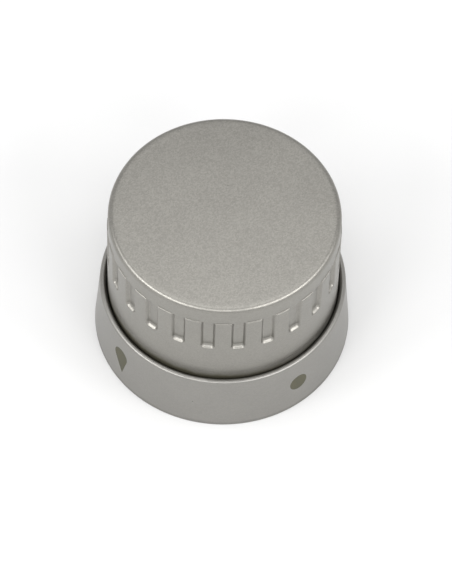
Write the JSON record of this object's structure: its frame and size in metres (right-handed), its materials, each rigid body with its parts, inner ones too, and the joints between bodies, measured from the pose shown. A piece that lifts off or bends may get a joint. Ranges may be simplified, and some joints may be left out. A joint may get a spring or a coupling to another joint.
{
  "type": "stove knob",
  "caption": "Round push-and-turn stove knob: a flat-topped cap with finger flutes standing in a flared skirt ring that carries a dot and a flame mark.",
  "frame": {"origin": "centre of the skirt's base, on the knob's axis", "axes": "+Z along the valve's shaft towards the hand; the dot mark faces -Y and the flame mark faces -X"},
  "size_m": [0.0482, 0.0482, 0.0354],
  "materials": {
    "silver_paint": "satin metallic silver paint on moulded plastic, fine sparkle",
    "black_nylon": "glass-filled nylon, moulded, matt black",
    "spring_steel": "rolled spring steel strip",
    "zinc_screw": "zinc-plated steel",
    "olive_fill": "matt olive-grey paint fill"
  },
  "bodies": {
    "root": {"grip_cap": "silver_paint", "skirt": "silver_paint", "core": "black_nylon", "shaft_clip": "spring_steel", "screw_1": "zinc_screw", "screw_2": "zinc_screw", "screw_3": "zinc_screw", "dot_mark": "olive_fill", "flame_mark": "olive_fill"}
  },
  "joints": []
}
